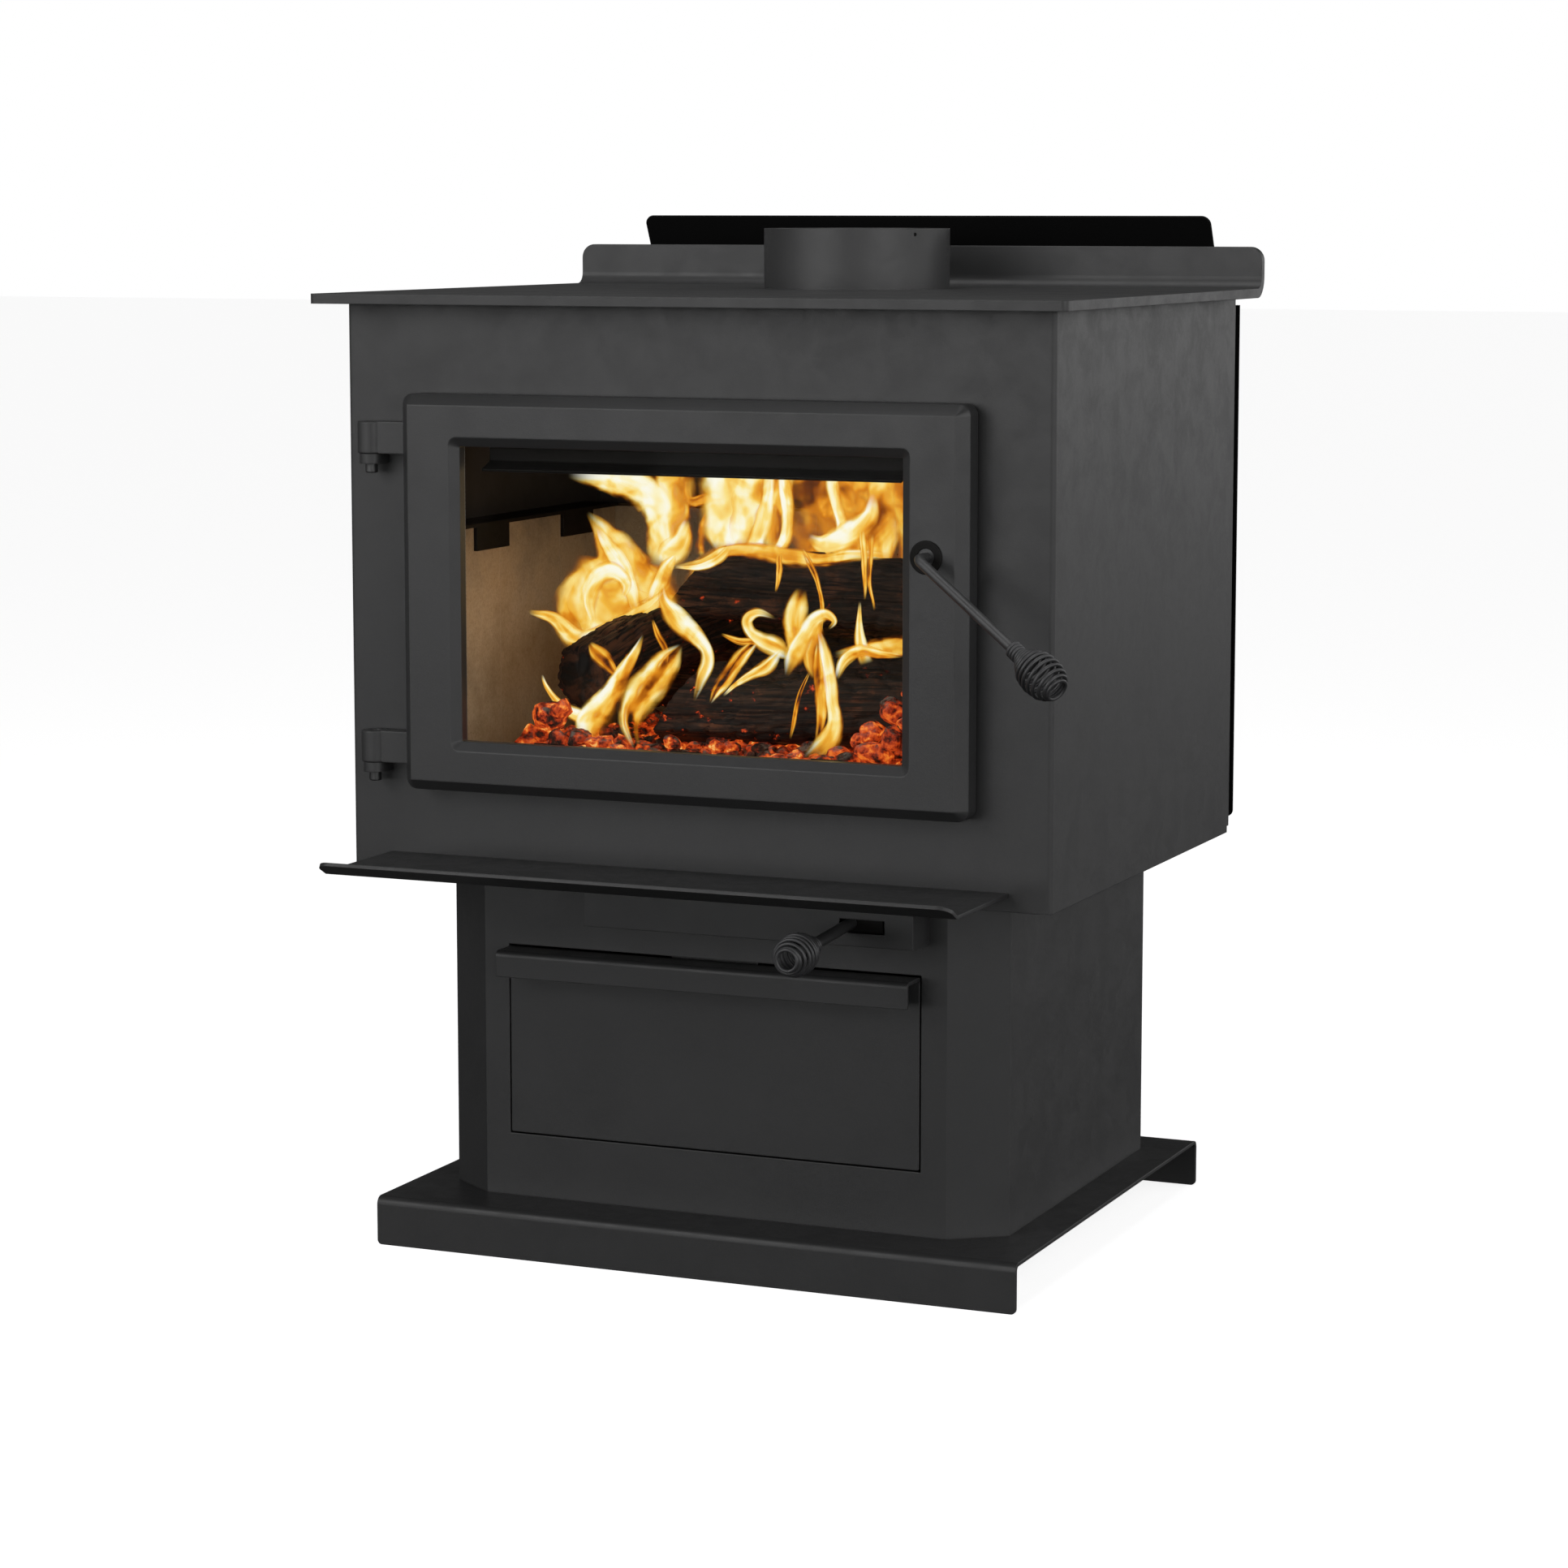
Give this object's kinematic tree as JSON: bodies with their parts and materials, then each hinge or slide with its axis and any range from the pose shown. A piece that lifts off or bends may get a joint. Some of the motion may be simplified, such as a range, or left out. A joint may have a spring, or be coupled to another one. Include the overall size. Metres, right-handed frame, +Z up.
{
  "type": "wood burning stove",
  "caption": "Freestanding plate steel wood stove on a pedestal, with a glazed hinged door, ash drawer, sliding air control lever, flue collar, ash shelf and rear shield.",
  "frame": {"origin": "on the floor, midway along the bottom edge of the base's front flange", "axes": "+Z up, the door faces -Y, +X to the right of someone facing the door"},
  "size_m": [0.6727, 0.6426, 0.8427],
  "materials": {
    "painted_plate": "matt black high-temperature stove paint",
    "painted_sheet": "matt black high-temperature stove paint",
    "painted_shield": "dull black high-temperature stove paint",
    "painted_casting": "matt black stove paint on a smooth casting",
    "bare_steel": "plain steel darkened by heat",
    "tube_steel": "stainless tube darkened by heat",
    "handle_steel": "satin black",
    "spring_wire": "satin black wound wire",
    "fastener": "blackened",
    "firebrick": "porous pale firebrick",
    "fibre_board": "rigid fibre board",
    "window_glass": "clear ceramic glass",
    "gasket_fibre": "braided glass-fibre rope",
    "burning_wood": "charred and glowing split logs",
    "embers": "glowing coals and ash",
    "cast_plug": "plain casting"
  },
  "bodies": {
    "stove": {"base_tray": "painted_sheet", "pedestal_shell": "painted_sheet", "pedestal_back": "painted_sheet", "air_inlet_collar": "painted_sheet", "pedestal_cleats": "painted_sheet", "cleat_bolts": "fastener", "drawer_deck": "painted_sheet", "drawer_guides": "painted_sheet", "firebox_front": "painted_plate", "firebox_left": "painted_plate", "firebox_right": "painted_plate", "firebox_back": "painted_plate", "firebox_floor": "painted_plate", "ash_chute": "painted_sheet", "top_plate": "painted_plate", "flue_collar": "painted_plate", "rear_shield": "painted_shield", "shield_spacers": "bare_steel", "shield_screws": "fastener", "ash_shelf": "painted_sheet", "shelf_brackets": "painted_sheet", "shelf_bolts": "fastener", "air_box": "painted_sheet", "air_orifice_plate": "bare_steel", "sill_duct": "bare_steel", "air_risers": "bare_steel", "air_wash_channel": "bare_steel", "air_wash_lip": "bare_steel", "floor_bricks": "firebrick", "side_bricks": "firebrick", "rear_bricks": "firebrick", "brick_rails": "bare_steel", "tube_manifolds": "bare_steel", "secondary_tubes": "tube_steel", "baffle_boards": "fibre_board", "ember_bed": "embers", "firewood_logs": "burning_wood", "hinge_lugs": "painted_plate", "hinge_pins": "fastener", "latch_catch": "painted_plate"},
    "door": {"door_frame": "painted_casting", "glass_gasket": "gasket_fibre", "door_glass": "window_glass", "glass_clips": "bare_steel", "glass_screws": "fastener", "door_rope": "gasket_fibre", "hinge_knuckles": "painted_casting", "handle_bushing": "bare_steel"},
    "door_handle": {"handle_rod": "handle_steel", "handle_grip": "spring_wire", "latch_cam": "bare_steel", "latch_nut": "fastener"},
    "air_lever": {"air_lever_rod": "handle_steel", "air_lever_grip": "spring_wire", "damper_plate": "bare_steel"},
    "ash_drawer": {"drawer_front": "painted_sheet", "drawer_tray": "painted_sheet"},
    "ash_plug": {"ash_plug": "cast_plug"}
  },
  "joints": [
    {"name": "door_hinge", "type": "hinge", "parent": "stove", "child": "door", "pos_m": [-0.275, -0.0037, 0.53], "axis": [0, 0, -1], "range_deg": [0, 110]},
    {"name": "handle_turn", "type": "hinge", "parent": "door", "child": "door_handle", "pos_m": [0.2105, -0.0204, 0.587], "axis": [0, -1, 0], "range_deg": [0, 75]},
    {"name": "air_lever_slide", "type": "slide", "parent": "stove", "child": "air_lever", "axis": [1, 0, 0], "range_m": [0, 0.027]},
    {"name": "ash_drawer_slide", "type": "slide", "parent": "stove", "child": "ash_drawer", "axis": [0, -1, 0], "range_m": [0, 0.29]},
    {"name": "ash_plug_lift", "type": "slide", "parent": "stove", "child": "ash_plug", "axis": [0, 0, 1], "range_m": [0, 0.06]}
  ]
}
